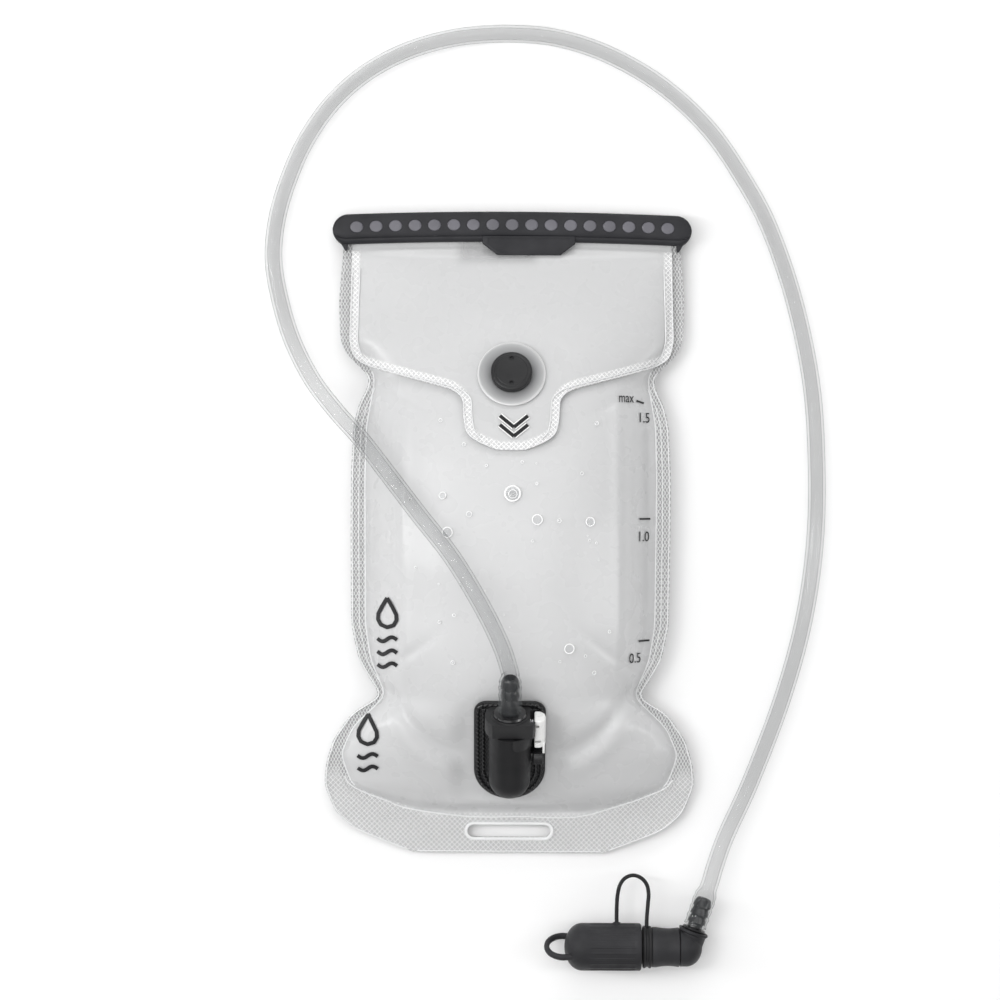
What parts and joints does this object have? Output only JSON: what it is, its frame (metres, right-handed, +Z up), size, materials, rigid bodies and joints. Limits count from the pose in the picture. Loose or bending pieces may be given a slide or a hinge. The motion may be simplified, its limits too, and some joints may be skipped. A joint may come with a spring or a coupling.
{
  "type": "hydration bladder",
  "caption": "Filled film water bladder with a magnetic rail mouth, snap-down flap, plug-in port with a release button, clear drink hose and a capped twist bite valve.",
  "frame": {"origin": "on the floor under the middle of the bladder lying on its back, hose and bite valve left out", "axes": "+Z up, out of the front sheet; +Y along the bladder towards the mouth rails; +X to the right seen from the front"},
  "size_m": [0.3044, 0.5104, 0.0754],
  "materials": {
    "film_clear": "satin",
    "rail_dark": "satin",
    "magnet_grey": "satin",
    "snap_grey": "satin",
    "black_plastic": "satin",
    "matt_black": "matte",
    "gloss_black": "gloss",
    "white_plastic": "satin",
    "spring_steel": "polished",
    "seal_rubber": "matte",
    "silicone": "satin",
    "hose_clear": "gloss"
  },
  "bodies": {
    "reservoir": {"back_film": "film_clear", "back_foot": "film_clear", "back_lobe": "film_clear", "back_neck": "film_clear", "front_film": "film_clear", "back_rail": "rail_dark", "back_magnet_strip": "magnet_grey", "snap_base_flange": "snap_grey", "snap_base": "gloss_black", "snap_base_magnet": "magnet_grey", "port_flange": "black_plastic", "port_housing": "matt_black", "poppet_spring": "spring_steel"},
    "mouth": {"neck_film": "film_clear", "front_rail": "rail_dark", "front_magnet_01": "magnet_grey", "front_magnet_02": "magnet_grey", "front_magnet_03": "magnet_grey", "front_magnet_04": "magnet_grey", "front_magnet_05": "magnet_grey", "front_magnet_06": "magnet_grey", "front_magnet_07": "magnet_grey", "front_magnet_08": "magnet_grey", "front_magnet_09": "magnet_grey", "front_magnet_10": "magnet_grey", "front_magnet_11": "magnet_grey", "front_magnet_12": "magnet_grey", "front_magnet_13": "magnet_grey", "front_magnet_14": "magnet_grey", "front_magnet_15": "magnet_grey", "front_magnet_16": "magnet_grey", "front_magnet_17": "magnet_grey"},
    "flap": {"flap_film": "film_clear"},
    "snap": {"snap_flange": "snap_grey", "snap_cap": "black_plastic", "snap_magnet": "magnet_grey"},
    "poppet": {"shutoff_poppet": "white_plastic"},
    "hose": {"plug_head": "black_plastic", "plug_seal": "seal_rubber", "release_spring": "spring_steel", "hose_barb": "gloss_black", "drink_hose": "hose_clear", "valve_barb": "gloss_black", "valve_elbow": "matt_black", "valve_seal": "seal_rubber"},
    "button": {"release_button": "white_plastic"},
    "bite_valve": {"valve_body": "matt_black", "bite_mouthpiece": "silicone", "cap_tether": "silicone"},
    "cap": {"dust_cap": "matt_black"}
  },
  "joints": [
    {"name": "mouth_hinge", "type": "hinge", "parent": "reservoir", "child": "mouth", "pos_m": [0, 0.1012, 0.0288], "axis": [1, 0, 0], "range_deg": [0, 20]},
    {"name": "flap_hinge", "type": "hinge", "parent": "mouth", "child": "flap", "pos_m": [0, 0.1465, 0.015], "axis": [-1, 0, 0], "range_deg": [0, 140]},
    {"name": "snap_release", "type": "slide", "parent": "flap", "child": "snap", "axis": [0, -0.9426, 0.3338], "range_m": [0, 0.003], "stiffness_N_per_m": 300},
    {"name": "hose_release", "type": "slide", "parent": "reservoir", "child": "hose", "axis": [0, 0.8788, 0.4772], "range_m": [0, 0.022]},
    {"name": "poppet_slide", "type": "slide", "parent": "reservoir", "child": "poppet", "axis": [0, 0.8788, 0.4772], "range_m": [0, 0.004], "deforming": ["poppet_spring"]},
    {"name": "release_press", "type": "slide", "parent": "hose", "child": "button", "axis": [-1, 0, 0], "range_m": [0, 0.0015], "stiffness_N_per_m": 400, "deforming": ["release_spring"]},
    {"name": "valve_twist", "type": "hinge", "parent": "hose", "child": "bite_valve", "pos_m": [0.085, -0.2231, 0.0129], "axis": [1, 0, 0], "range_deg": [0, 90]},
    {"name": "cap_pull", "type": "slide", "parent": "bite_valve", "child": "cap", "axis": [-1, 0, 0], "range_m": [0, 0.036], "deforming": ["cap_tether"]}
  ],
  "couplings": [
    {"joint": "mouth_hinge", "follows": "flap_hinge", "ratio": 0.1428},
    {"joint": "poppet_slide", "follows": "hose_release", "ratio": 0.18}
  ]
}
